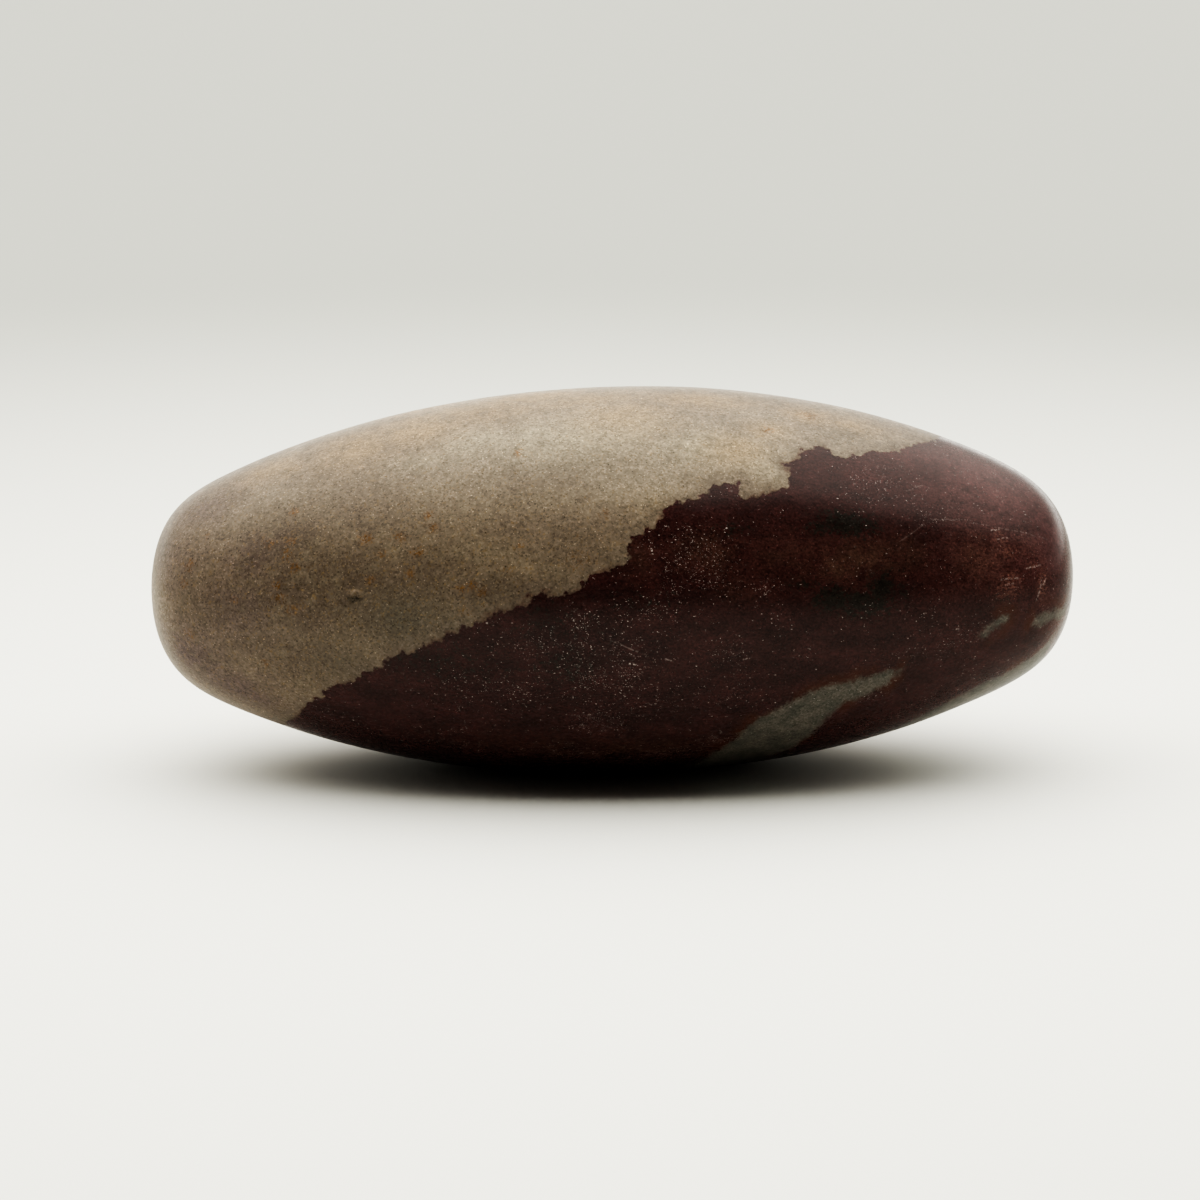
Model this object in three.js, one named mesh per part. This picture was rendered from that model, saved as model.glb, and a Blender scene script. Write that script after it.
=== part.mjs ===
// A river pebble lying on its belly: one solid stone, tumbled and rubbed to a long ellipsoid with
// blunt ends, a few very shallow lands along its flanks and a small flat where it rests.
// Millimetres, +Z up. +X runs along the stone to its dark red end, -Y is the side with the long
// slanting colour edge, and the origin is on the ground under the middle of the stone.
import * as THREE from "three";
import { mergeVertices } from "three/addons/utils/BufferGeometryUtils.js";

// Driving dimensions.
const length = 100; // end to end
const depth = 43.8; // front to back, at the middle
const height = 42.1; // top to bottom at the middle, before the belly is worn
const bellyWear = 0.9; // taken off the underside at the resting place
const bellyEase = 0.35; // the flat rounds up into the flanks over this height, up and down
const axisRise = 0.92; // degrees by which the red end lies higher than the tan end

// How the stone differs from a plain ellipsoid, as shares of its radius at that place.
const tanEndBluntness = 0.49; // extra radius right at the tan end, -X
const redEndBluntness = 0.45; // extra radius right at the red end, +X
const bluntnessPower = 10; // how suddenly that extra radius comes in towards the ends

// Long shallow lands round the girth, left by rubbing: each is a wave that turns as it runs along.
const rubbedLands = [
  { sides: 2, depthShare: 0.006, turn: 2.5, start: 1.5 },
  { sides: 3, depthShare: 0.008, turn: -1.8, start: 3 },
  { sides: 5, depthShare: 0.005, turn: 0.7, start: -0.7 },
];
const landsFadeFrom = 0.8; // the lands fade out towards the ends from this share of the half length

const surfaceDetail = 17; // each edge of the starting icosahedron is split into one more than this

// How much the stone is wider than an ellipsoid at a share of its half length, from -1 to 1.
function fullnessAt(along) {
  const bluntness = along < 0 ? tanEndBluntness : redEndBluntness;
  return 1 + bluntness * Math.abs(along) ** bluntnessPower;
}

// The rubbed lands, at a share of the half length and an angle round the girth.
function landsAt(along, angle) {
  const fade = 1 - THREE.MathUtils.smoothstep(Math.abs(along), landsFadeFrom, 1);
  const waves = rubbedLands.map(
    ({ sides, depthShare, turn, start }) =>
      depthShare * Math.cos(sides * angle + turn * along + start),
  );
  return 1 + fade * waves.reduce((sum, wave) => sum + wave, 0);
}

// Takes a point of the unit sphere to its place on the unworn stone.
function toStone(point) {
  const along = THREE.MathUtils.clamp(point.x, -1, 1);
  const angle = Math.atan2(point.z, point.y);
  const girth = fullnessAt(along) * landsAt(along, angle);
  return point.set(
    (along * length) / 2,
    (point.y * girth * depth) / 2,
    (point.z * girth * height) / 2,
  );
}

// Flattens what lies below the resting plane, with a rounded rise out of the flat.
function wearBelly(z, restPlane) {
  const above = z - restPlane;
  if (above >= bellyEase) return z;
  if (above <= -bellyEase) return restPlane;
  return restPlane + (above + bellyEase) ** 2 / (4 * bellyEase);
}

// Moves every vertex of a geometry by a function that takes and returns a point.
function reshape(geometry, move) {
  const position = geometry.getAttribute("position");
  const point = new THREE.Vector3();
  for (let i = 0; i < position.count; i++) {
    move(point.fromBufferAttribute(position, i));
    position.setXYZ(i, point.x, point.y, point.z);
  }
  geometry.computeBoundingBox();
  return geometry;
}

function makePebble() {
  const sphere = new THREE.IcosahedronGeometry(1, surfaceDetail);
  sphere.deleteAttribute("normal");
  sphere.deleteAttribute("uv");
  const geometry = reshape(mergeVertices(sphere), toStone);
  geometry.rotateY(THREE.MathUtils.degToRad(-axisRise));
  geometry.computeBoundingBox();

  const restPlane = geometry.boundingBox.min.z + bellyWear;
  reshape(geometry, (point) => point.setZ(wearBelly(point.z, restPlane)));

  const middle = geometry.boundingBox.getCenter(new THREE.Vector3());
  geometry.translate(-middle.x, -middle.y, -restPlane);
  geometry.computeVertexNormals();

  const stone = new THREE.MeshStandardMaterial({ color: 0x6b5a50, roughness: 0.45, metalness: 0 });
  const pebble = new THREE.Mesh(geometry, stone);
  pebble.name = "pebble";
  return pebble;
}

const riverPebble = new THREE.Group();
riverPebble.add(makePebble());

export default riverPebble;
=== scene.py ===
import math

import bmesh
import bpy
import numpy as np
from mathutils import Matrix, Vector, kdtree, noise
from mathutils.bvhtree import BVHTree


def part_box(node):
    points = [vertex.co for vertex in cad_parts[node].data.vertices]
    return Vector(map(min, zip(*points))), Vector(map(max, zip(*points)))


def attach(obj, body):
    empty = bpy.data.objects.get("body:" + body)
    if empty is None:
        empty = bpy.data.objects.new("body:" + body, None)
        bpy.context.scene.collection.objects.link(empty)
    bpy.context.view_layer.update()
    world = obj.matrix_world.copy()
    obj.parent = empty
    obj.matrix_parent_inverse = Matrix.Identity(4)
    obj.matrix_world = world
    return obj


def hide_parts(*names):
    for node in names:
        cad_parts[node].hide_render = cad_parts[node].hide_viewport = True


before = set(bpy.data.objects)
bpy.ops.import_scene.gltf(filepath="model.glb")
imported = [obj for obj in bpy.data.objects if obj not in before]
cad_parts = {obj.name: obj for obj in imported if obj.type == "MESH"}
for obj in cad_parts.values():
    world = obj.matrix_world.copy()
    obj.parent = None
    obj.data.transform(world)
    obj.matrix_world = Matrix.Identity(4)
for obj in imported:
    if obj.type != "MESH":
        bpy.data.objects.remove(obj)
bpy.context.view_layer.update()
mm = 0.001

# Camera
photoWidth = 1200  # the photograph's frame is square, and pixel places below are given in it

cameraSettings = {
    "elevation": 13.0,  # degrees above the horizon
    "distance": 0.4183,
    "fieldOfView": 17.75,  # degrees across the frame
    "target": (-0.0013, 0.0, 0.0181),
    "roll": -0.23,  # degrees
    "sensorWidth": 36.0,
    "clip": (0.01, 20.0),
}


def cameraAxes(settings):
    elevation = math.radians(settings["elevation"])
    back = Vector((0, -math.cos(elevation), math.sin(elevation)))
    turn = Matrix.Rotation(math.radians(settings["roll"]), 3, back)
    right = turn @ Vector((1, 0, 0))
    return right, back.cross(right), back


def makeCamera(settings):
    right, up, back = cameraAxes(settings)
    data = bpy.data.cameras.new("photoCamera")
    data.sensor_width = settings["sensorWidth"]
    data.lens = data.sensor_width / 2 / math.tan(math.radians(settings["fieldOfView"]) / 2)
    data.clip_start, data.clip_end = settings["clip"]
    camera = bpy.data.objects.new("photoCamera", data)
    camera.rotation_mode = "QUATERNION"
    camera.rotation_quaternion = Matrix((right, up, back)).transposed().to_quaternion()
    camera.location = Vector(settings["target"]) + back * settings["distance"]
    bpy.context.collection.objects.link(camera)
    bpy.context.scene.camera = camera


# Where the camera stands, and the way from it through a pixel of the photograph.
def pixelRay(settings, pixelX, pixelY):
    right, up, back = cameraAxes(settings)
    focal = photoWidth / 2 / math.tan(math.radians(settings["fieldOfView"]) / 2)
    start = Vector(settings["target"]) + back * settings["distance"]
    way = right * (pixelX - photoWidth / 2) + up * (photoWidth / 2 - pixelY) - back * focal
    return start, way.normalized()


makeCamera(cameraSettings)
print("camera made")


# Small helpers for nodes. An input that is a socket is linked, and anything else is its value.
def setInput(tree, socket, value):
    if isinstance(value, bpy.types.NodeSocket):
        tree.links.new(value, socket)
    elif value is not None:
        socket.default_value = value


def addNode(tree, kind, inputs=None, **properties):
    node = tree.nodes.new(kind)
    for name, value in properties.items():
        setattr(node, name, value)
    for name, value in (inputs or {}).items():
        setInput(tree, node.inputs[name], value)
    return node


def mathNode(tree, operation, a, b=None, c=None):
    node = addNode(tree, "ShaderNodeMath", operation=operation)
    for socket, value in zip(node.inputs, (a, b, c)):
        setInput(tree, socket, value)
    return node.outputs[0]


def times(tree, a, b):
    return mathNode(tree, "MULTIPLY", a, b)


def vectorMath(tree, operation, a, b=None, scale=None):
    node = addNode(tree, "ShaderNodeVectorMath", operation=operation)
    setInput(tree, node.inputs[0], a)
    if b is not None:
        setInput(tree, node.inputs[1], b)
    if scale is not None:
        setInput(tree, node.inputs["Scale"], scale)
    return node.outputs["Value" if operation in ("LENGTH", "DOT_PRODUCT") else "Vector"]


def rangeNode(tree, value, low, high, toLow=0.0, toHigh=1.0, smooth=True):
    node = addNode(
        tree, "ShaderNodeMapRange",
        {"Value": value, "From Min": low, "From Max": high, "To Min": toLow, "To Max": toHigh},
        interpolation_type="SMOOTHSTEP" if smooth else "LINEAR",
    )
    return node.outputs["Result"]


def fadeNode(tree, value, low, high):
    return rangeNode(tree, value, low, high, 1.0, 0.0)


# The Mix node has a pair of sockets for each kind of value, so these go by their numbers.
def mixColour(tree, factor, a, b, blend="MIX"):
    node = addNode(tree, "ShaderNodeMix", data_type="RGBA", blend_type=blend)
    setInput(tree, node.inputs[0], factor)
    setInput(tree, node.inputs[6], a)
    setInput(tree, node.inputs[7], b)
    return node.outputs[2]


def mixValue(tree, factor, a, b):
    node = addNode(tree, "ShaderNodeMix", data_type="FLOAT")
    setInput(tree, node.inputs[0], factor)
    setInput(tree, node.inputs[2], a)
    setInput(tree, node.inputs[3], b)
    return node.outputs[0]


def noiseNode(tree, where, scale, detail, roughness=0.5):
    settings = {"Vector": where, "Scale": scale, "Detail": detail, "Roughness": roughness}
    return addNode(tree, "ShaderNodeTexNoise", settings).outputs["Fac"]


def attributeNode(tree, name):
    return addNode(tree, "ShaderNodeAttribute", attribute_name=name).outputs["Fac"]


# A shader node group that is given vectors and numbers, and puts out numbers.
def newGroup(name, vectors, numbers, results):
    group = bpy.data.node_groups.new(name, "ShaderNodeTree")
    for label in vectors:
        group.interface.new_socket(label, in_out="INPUT", socket_type="NodeSocketVector")
    for label, usual in numbers.items():
        socket = group.interface.new_socket(label, in_out="INPUT", socket_type="NodeSocketFloat")
        socket.default_value = usual
    for label in results:
        group.interface.new_socket(label, in_out="OUTPUT", socket_type="NodeSocketFloat")
    given = group.nodes.new("NodeGroupInput").outputs
    result = group.nodes.new("NodeGroupOutput").inputs
    return group, given, result


def useGroup(tree, group, inputs):
    return addNode(tree, "ShaderNodeGroup", inputs, node_tree=group).outputs


# Stage and light: a white tent, open and dark towards the camera.
stageSettings = {
    "floorRadius": 4.0,
    "floorSides": 96,
    "floorDrop": 0.00003,  # keeps the floor just clear of the stone's flat
    "paperRoughness": 0.9,
    "paperSpecular": 0.1,
    # Painted shade: the paper's colour darkens from near to far, standing in for the light falling
    # off away from the stone.
    "paperNear": (0.83, 0.83, 0.79, 1),
    "paperFarPaintedShade": (0.37, 0.376, 0.35, 1),
    "paperFades": (0.03, 0.38),  # metres from the stone
    "skyColour": (0.737, 0.737, 0.652, 1),  # what the camera sees past the floor
    "tentColour": (1.0, 0.988, 0.903, 1),
    "tentWall": 0.95,
    "tentRoof": 3.6,
    "tentHorizon": 2.1,  # extra light low down, behind the stone
    "horizonFades": (0.0, 0.30),  # up from the horizon
    "horizonGrows": (-0.1, 0.8),  # from the sides to the back
    "tentRoofFrom": (0.25, 0.95),  # the walls pass into the roof at these heights, 0 to 1
    "tentOpening": 0.05,
    "openingSlope": 0.45,  # how far the opening's edge lies forward for its height
    "openingBlur": 0.07,
    "look": "AgX - Very High Contrast",
}


def makeFloor(settings):
    mesh = bpy.data.meshes.new("floor")
    shape = bmesh.new()
    bmesh.ops.create_circle(
        shape, cap_ends=True, segments=settings["floorSides"], radius=settings["floorRadius"])
    shape.to_mesh(mesh)
    shape.free()
    floor = bpy.data.objects.new("floor", mesh)
    floor.location.z = -settings["floorDrop"]
    bpy.context.collection.objects.link(floor)
    paper = bpy.data.materials.new("palePaperPaintedFalloff")
    paper.use_nodes = True
    tree = paper.node_tree
    shader = tree.nodes["Principled BSDF"]
    shader.inputs["Roughness"].default_value = settings["paperRoughness"]
    shader.inputs["Specular IOR Level"].default_value = settings["paperSpecular"]
    # Painted shade: the paper is darker the farther it lies from the stone.
    away = vectorMath(tree, "LENGTH", addNode(tree, "ShaderNodeTexCoord").outputs["Object"])
    share = rangeNode(tree, away, *settings["paperFades"])
    colour = mixColour(tree, share, settings["paperNear"], settings["paperFarPaintedShade"])
    tree.links.new(colour, shader.inputs["Base Color"])
    mesh.materials.append(paper)


# The camera sees an even pale surround, and the stone is lit by the tent.
def makeTent(settings):
    world = bpy.data.worlds.new("tent")
    world.use_nodes = True
    tree = world.node_tree
    light = tree.nodes["Background"]
    light.inputs["Color"].default_value = settings["tentColour"]
    way = addNode(tree, "ShaderNodeTexCoord").outputs["Generated"]
    parts = addNode(tree, "ShaderNodeSeparateXYZ", {"Vector": way}).outputs
    cloth = rangeNode(
        tree, parts["Z"], *settings["tentRoofFrom"], settings["tentWall"], settings["tentRoof"])
    lowDown = fadeNode(tree, parts["Z"], *settings["horizonFades"])
    lowDown = times(tree, lowDown, settings["tentHorizon"])
    behind = rangeNode(tree, parts["Y"], *settings["horizonGrows"])
    cloth = mathNode(tree, "MULTIPLY_ADD", lowDown, behind, cloth)
    forward = times(tree, parts["Y"], -1.0)
    pastEdge = mathNode(tree, "MULTIPLY_ADD", parts["Z"], -settings["openingSlope"], forward)
    blur = settings["openingBlur"]
    strength = mixValue(tree, rangeNode(tree, pastEdge, -blur, blur), cloth, settings["tentOpening"])
    tree.links.new(strength, light.inputs["Strength"])
    sky = addNode(tree, "ShaderNodeBackground", {"Color": settings["skyColour"]})
    path = addNode(tree, "ShaderNodeLightPath")
    mix = addNode(tree, "ShaderNodeMixShader", {"Fac": path.outputs["Is Camera Ray"]})
    tree.links.new(light.outputs["Background"], mix.inputs[1])
    tree.links.new(sky.outputs["Background"], mix.inputs[2])
    tree.links.new(mix.outputs["Shader"], tree.nodes["World Output"].inputs["Surface"])
    bpy.context.scene.world = world


makeFloor(stageSettings)
makeTent(stageSettings)
bpy.context.scene.view_settings.view_transform = "AgX"
bpy.context.scene.view_settings.look = stageSettings["look"]
print("stage made")

# The stone's form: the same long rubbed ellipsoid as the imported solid, in a fine even grid.
# A place on it is a share of the half length, -1 to 1, and an angle round the girth in radians:
# 0 in front, a quarter turn on top, and minus a quarter turn on the belly.
stoneForm = {
    "length": 100.0,
    "depth": 43.8,
    "height": 42.1,
    "bellyWear": 0.9,
    "bellyEase": 0.35,
    "axisRise": 0.92,  # degrees
    "tanEndBluntness": 0.49,
    "redEndBluntness": 0.45,
    "bluntnessPower": 10,
    # sides, share of the radius, turn and start of each run of shallow rubbed lands
    "rubbedLands": [(2, 0.006, 2.5, 1.5), (3, 0.008, -1.8, 3.0), (5, 0.005, 0.7, -0.7)],
    "landsFadeFrom": 0.8,
    "gridAlong": 240,
    "gridAround": 80,  # on each of the four sides
    "gridEndShare": 0.8,  # where the end caps of the grid begin
    "gridStretch": 1.2,  # how long the grid is drawn out for its width
}


def smoothStep(value, low, high):
    share = np.clip((value - low) / (high - low), 0, 1)
    return share * share * (3 - 2 * share)


# The unworn stone with its axis level, from shares of the half length and angles.
def unwornStone(along, angle, form):
    bluntness = np.where(along < 0, form["tanEndBluntness"], form["redEndBluntness"])
    fullness = 1 + bluntness * np.abs(along) ** form["bluntnessPower"]
    fade = 1 - smoothStep(np.abs(along), form["landsFadeFrom"], 1)
    lands = sum(
        share * np.cos(sides * (math.pi - angle) + turn * along + start)
        for sides, share, turn, start in form["rubbedLands"]
    )
    radius = np.sqrt(np.clip(1 - along**2, 0, 1)) * fullness * (1 + fade * lands)
    return np.column_stack((
        along * form["length"] / 2,
        -np.cos(angle) * radius * form["depth"] / 2,
        np.sin(angle) * radius * form["height"] / 2,
    ))


def riseAxis(points, degrees):
    rise = math.radians(degrees)
    x, y, z = points.T
    return np.column_stack((
        x * math.cos(rise) - z * math.sin(rise), y, x * math.sin(rise) + z * math.cos(rise)))


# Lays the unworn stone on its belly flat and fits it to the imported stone's box, in metres.
class StonePlace:
    def __init__(self, form, along, angle):
        self.form = form
        risen = riseAxis(unwornStone(along, angle, form), form["axisRise"])
        self.restPlane = risen[:, 2].min() + form["bellyWear"]
        worn = self.wear(risen)
        low, high = (np.array(corner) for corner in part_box("pebble"))
        self.scale = (high - low) / (worn.max(0) - worn.min(0))
        self.shift = low - worn.min(0) * self.scale

    def wear(self, points):
        ease = self.form["bellyEase"]
        above = points[:, 2] - self.restPlane
        eased = self.restPlane + (above + ease) ** 2 / (4 * ease)
        lowered = np.where(above < -ease, self.restPlane, eased)
        worn = points.copy()
        worn[:, 2] = np.where(above > ease, points[:, 2], lowered)
        return worn

    def toFrame(self, along, angle):
        risen = riseAxis(unwornStone(along, angle, self.form), self.form["axisRise"])
        return self.wear(risen) * self.scale + self.shift

    def fromFrame(self, points):
        level = riseAxis((points - self.shift) / self.scale, -self.form["axisRise"])
        along = np.clip(level[:, 0] * 2 / self.form["length"], -1, 1)
        angle = np.arctan2(level[:, 2] / self.form["height"], -level[:, 1] / self.form["depth"])
        return along, angle


# Corners and faces of a box's surface, as steps along each edge. Projected onto a sphere it has
# no pole, so the faces stay nearly square all over.
def boxGrid(stepsAlong, stepsAcross):
    numbers = {}
    faces = []

    def corner(*step):
        return numbers.setdefault(step, len(numbers))

    def sheet(stepsA, stepsB, toPlace):
        for a in range(stepsA):
            for b in range(stepsB):
                around = ((a, b), (a + 1, b), (a + 1, b + 1), (a, b + 1))
                faces.append([corner(*toPlace(*step)) for step in around])

    for end in (0, stepsAcross):
        sheet(stepsAlong, stepsAcross, lambda a, b, end=end: (a, b, end))
        sheet(stepsAlong, stepsAcross, lambda a, b, end=end: (a, end, b))
    for end in (0, stepsAlong):
        sheet(stepsAcross, stepsAcross, lambda a, b, end=end: (end, a, b))
    return np.array(list(numbers)), faces


def gridPlaces(form):
    steps, faces = boxGrid(form["gridAlong"], form["gridAround"])
    share = (steps[:, 0] / form["gridAlong"] * 2 - 1) * form["gridEndShare"]
    x = form["gridStretch"] * share / np.sqrt(1 - share**2)
    sides = np.tan((steps[:, 1:] / form["gridAround"] * 2 - 1) * math.pi / 4)
    reach = np.sqrt(x**2 + (sides**2).sum(1))
    return x / reach, np.arctan2(sides[:, 1], -sides[:, 0]), faces


along, angle, quads = gridPlaces(stoneForm)
place = StonePlace(stoneForm, along, angle)
smoothPoints = place.toFrame(along, angle)
stoneTree = BVHTree.FromPolygons([Vector(p) for p in smoothPoints], quads)
print("form made:", len(smoothPoints), "points")


# The place on the stone that a pixel of the photograph shows. A pixel just off the outline is
# drawn in towards the middle of the stone until it meets it.
pixelSearch = {"middle": (612.5, 579.5), "steps": 60, "stepShare": 0.004}


def onStone(pixelX, pixelY):
    middleX, middleY = pixelSearch["middle"]
    for step in range(pixelSearch["steps"]):
        pull = step * pixelSearch["stepShare"]
        x = pixelX + (middleX - pixelX) * pull
        y = pixelY + (middleY - pixelY) * pull
        hit = stoneTree.ray_cast(*pixelRay(cameraSettings, x, y))[0]
        if hit:
            return np.array(hit)
    raise ValueError(f"pixel {pixelX}, {pixelY} is off the stone")


def pixelPlaces(pixels):
    return place.fromFrame(np.array([onStone(*pixel) for pixel in pixels]))


# The edge between the tan and the red runs once round the stone. Its front is given by pixels,
# from the belly up to the top, and its back by millimetres along the stone and degrees round it.
colourEdge = {
    "frontPixels": [
        (288, 721), (301, 712), (308, 703), (324, 694), (331, 687), (354, 682), (363, 673),
        (383, 664), (390, 658), (413, 651), (427, 644), (450, 636), (468, 626), (500, 611),
        (529, 602), (533, 594), (547, 593), (558, 596), (577, 588), (584, 582), (600, 572),
        (625, 566), (630, 544), (634, 536), (655, 528), (658, 517), (671, 505), (696, 499),
        (708, 492), (717, 484), (740, 482), (740, 499), (761, 497), (787, 485), (789, 469),
        (784, 463), (798, 460), (803, 449), (823, 447), (835, 457), (851, 458), (869, 451),
        (897, 451), (927, 442), (936, 440),
    ],
    "back": [
        (37.5, 108), (35, 114), (36, 120), (31, 125), (29.5, 131), (22, 135), (20.5, 142),
        (13, 146), (14.5, 152), (8, 157), (1.5, 160), (0.5, 168), (-6, 172), (-5, 180),
        (-12.5, 186), (-14, 195), (-20, 201), (-19.5, 209), (-25, 217), (-26.5, 226),
        (-31, 233), (-30.5, 242), (-34.5, 252), (-34, 262), (-36.5, 272),
    ],
}

# Grey-green lenses in the red, as closed outlines; the last points of some lie out of sight.
lenses = {
    "main": {
        "pixels": [
            (688, 766), (712, 753), (734, 738), (755, 719), (789, 701), (823, 686), (854, 678),
            (886, 670), (907, 666), (889, 684), (866, 697), (846, 703), (833, 714), (818, 729),
            (797, 746), (768, 757),
        ],
        "hidden": [(14, -76), (9, -92), (2, -101), (3, -88)],
    },
    "small": {
        "pixels": [
            (977, 637), (983, 628), (993, 618), (1002, 613), (1010, 614), (1008, 622), (998, 629),
            (985, 638),
        ],
        "hidden": [],
    },
    "end": {
        "pixels": [
            (1031, 626), (1035, 616), (1048, 609), (1067, 603), (1066, 613), (1049, 622),
            (1038, 628),
        ],
        "hidden": [],
    },
    "low": {
        "pixels": [
            (893, 729), (922, 715), (950, 700), (982, 683), (1003, 674), (1027, 659), (1046, 644),
            (1057, 628),
        ],
        "hidden": [(46, -70), (44, -92), (38, -104), (28, -98)],
    },
    "backLong": {
        "pixels": [],
        "hidden": [
            (12, 196), (19, 189), (27, 183), (35, 176), (41, 172), (38.5, 179),
            (31, 186), (24, 194), (16, 200),
        ],
    },
    "backShort": {
        "pixels": [],
        "hidden": [(22, 152), (27, 147), (33, 144), (30, 149), (25, 153)],
    },
}


def toPlaces(listed):
    xs, degrees = np.array(listed, float).reshape(-1, 2).T
    return xs * 2 / stoneForm["length"], np.radians(degrees)


# True where the places are inside an outline drawn on the unrolled stone.
def insideOutline(along, angle, outlineAlong, outlineAngle):
    inside = np.zeros(len(along), bool)
    for i in range(len(outlineAlong)):
        alongA, alongB = outlineAlong[i - 1], outlineAlong[i]
        angleA, angleB = outlineAngle[i - 1], outlineAngle[i]
        crosses = (angleA > angle) != (angleB > angle)
        if angleA != angleB:
            meets = alongA + (angle - angleA) / (angleB - angleA) * (alongB - alongA)
            inside ^= crosses & (along < meets)
    return inside


lineStep = 0.12  # millimetres between the points that stand for a line drawn on the stone
farOutside = -50.0  # a depth for places that no lens is near


# Distance in millimetres from every point of the stone to a line drawn on it.
def distanceToLine(lineAlong, lineAngle, closed):
    last = len(lineAlong) if closed else len(lineAlong) - 1
    pieces = []
    for i in range(last):
        ends = [i, (i + 1) % len(lineAlong)]
        corners = place.toFrame(lineAlong[ends], lineAngle[ends])
        steps = max(2, int(np.linalg.norm(corners[1] - corners[0]) / (lineStep * mm)))
        share = np.linspace(0, 1, steps, endpoint=False)
        pieces.append(place.toFrame(
            lineAlong[ends[0]] + share * (lineAlong[ends[1]] - lineAlong[ends[0]]),
            lineAngle[ends[0]] + share * (lineAngle[ends[1]] - lineAngle[ends[0]]),
        ))
    linePoints = np.concatenate(pieces)
    tree = kdtree.KDTree(len(linePoints))
    for number, point in enumerate(linePoints):
        tree.insert(point, number)
    tree.balance()
    return np.array([tree.find(p)[2] for p in smoothPoints]) / mm


# Depth into the red in millimetres, negative in the tan.
def redDepth():
    frontAlong, frontAngle = pixelPlaces(colourEdge["frontPixels"])
    backAlong, backAngle = toPlaces(colourEdge["back"])
    lineAlong = np.concatenate((frontAlong, backAlong, frontAlong[:1]))
    lineAngle = np.concatenate((frontAngle, backAngle, frontAngle[:1] + 2 * math.pi))
    start = lineAngle[0]
    turned = (angle - start) % (2 * math.pi) + start
    outlineAlong = np.concatenate((lineAlong, (2.0, 2.0)))  # closed past the red end
    outlineAngle = np.concatenate((lineAngle, (lineAngle[-1], start)))
    red = insideOutline(along, turned, outlineAlong, outlineAngle)
    return np.where(red, 1, -1) * distanceToLine(lineAlong, lineAngle, closed=False)


# Depth into the nearest grey-green lens in millimetres, negative outside.
def lensDepth():
    deepest = np.full(len(along), farOutside)
    for lens in lenses.values():
        pixelAlong, pixelAngle = pixelPlaces(lens["pixels"]) if lens["pixels"] else ((), ())
        hiddenAlong, hiddenAngle = toPlaces(lens["hidden"])
        outlineAlong = np.concatenate((pixelAlong, hiddenAlong))
        outlineAngle = np.concatenate((pixelAngle, hiddenAngle))
        middle = outlineAngle.mean()
        turned = (angle - middle + math.pi) % (2 * math.pi) - math.pi + middle
        inside = insideOutline(along, turned, outlineAlong, outlineAngle)
        distance = distanceToLine(outlineAlong, outlineAngle, closed=True)
        deepest = np.maximum(deepest, np.where(inside, distance, -distance))
    return deepest


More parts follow.
